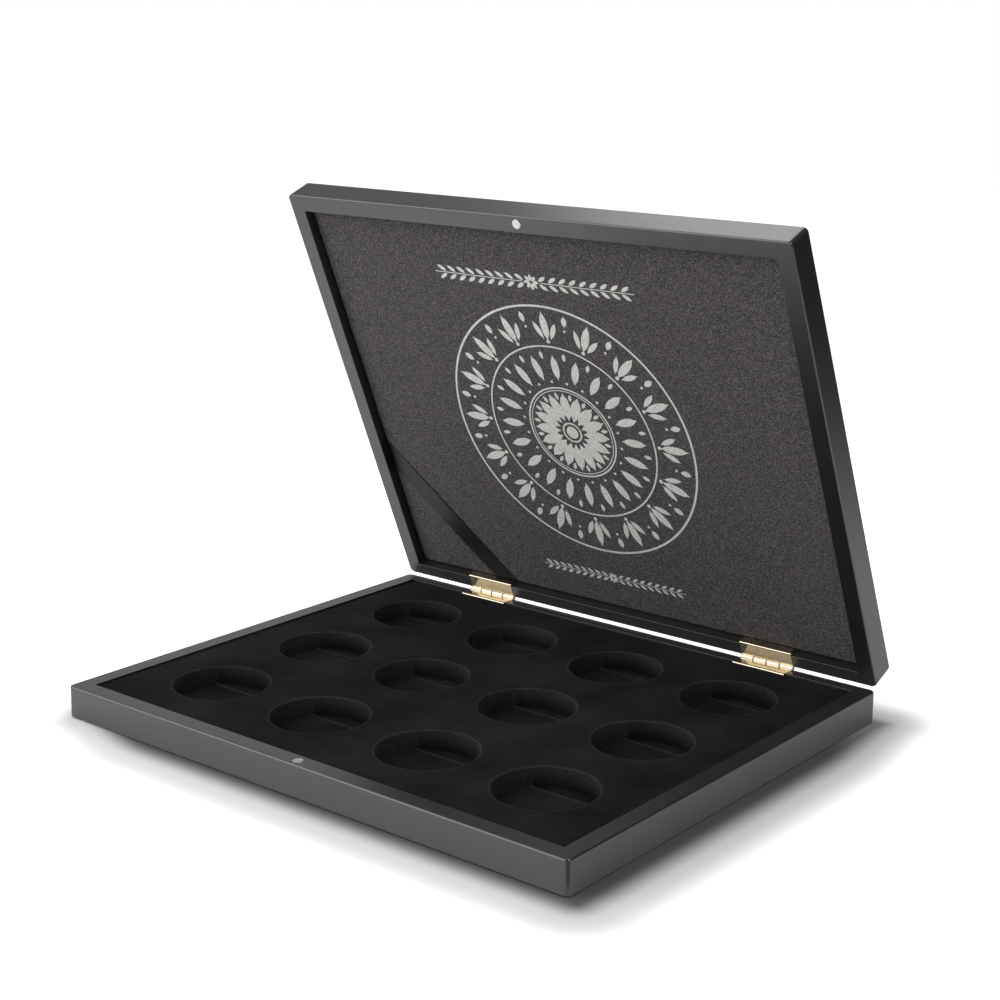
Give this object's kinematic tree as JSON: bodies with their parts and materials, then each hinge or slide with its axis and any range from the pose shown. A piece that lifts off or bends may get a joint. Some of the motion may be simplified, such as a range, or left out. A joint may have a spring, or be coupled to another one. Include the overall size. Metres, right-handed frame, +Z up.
{
  "type": "coin display case",
  "caption": "Shallow hinged display case, lid open: a flocked tray of tilt-out round pockets for coin capsules, and a padded lid lining crossed by a ribbon.",
  "frame": {"origin": "centre of the case's underside, on the table plane", "axes": "+X along the width to the right, +Y from the front to the hinges, +Z up"},
  "size_m": [0.304, 0.2581, 0.2474],
  "materials": {
    "lacquered_wood": "satin dark lacquer on fibreboard",
    "underside_velour": "thin black velour",
    "flock": "black flock on a formed sheet",
    "nickel": "nickel-plated disc",
    "gilt_hinge": "polished pale gold plate",
    "card": "grey board",
    "foam": "soft foam sheet",
    "lining_cloth": "dark cloth with a fine silver sparkle",
    "satin_ribbon": "black satin"
  },
  "bodies": {
    "base": {"base_board": "lacquered_wood", "underside_velour": "underside_velour", "base_front_rail": "lacquered_wood", "base_left_rail": "lacquered_wood", "base_right_rail": "lacquered_wood", "base_hinge_rail": "lacquered_wood", "pocket_tray": "flock", "base_magnet": "nickel", "hinge_left_base_leaf": "gilt_hinge", "hinge_right_base_leaf": "gilt_hinge", "hinge_left_pin": "gilt_hinge", "hinge_right_pin": "gilt_hinge"},
    "lid": {"lid_board": "lacquered_wood", "lid_front_rail": "lacquered_wood", "lid_left_rail": "lacquered_wood", "lid_right_rail": "lacquered_wood", "lid_hinge_rail": "lacquered_wood", "lid_magnet": "nickel", "hinge_left_lid_leaf": "gilt_hinge", "hinge_right_lid_leaf": "gilt_hinge", "lining_card": "card", "lining_padding": "foam", "lining_fabric": "lining_cloth", "lid_ribbon": "satin_ribbon"}
  },
  "joints": [
    {"name": "lid_hinge", "type": "hinge", "parent": "base", "child": "lid", "pos_m": [0, 0.1232, 0.01595], "axis": [-1, 0, 0], "range_deg": [-67.2, 32.8]}
  ]
}
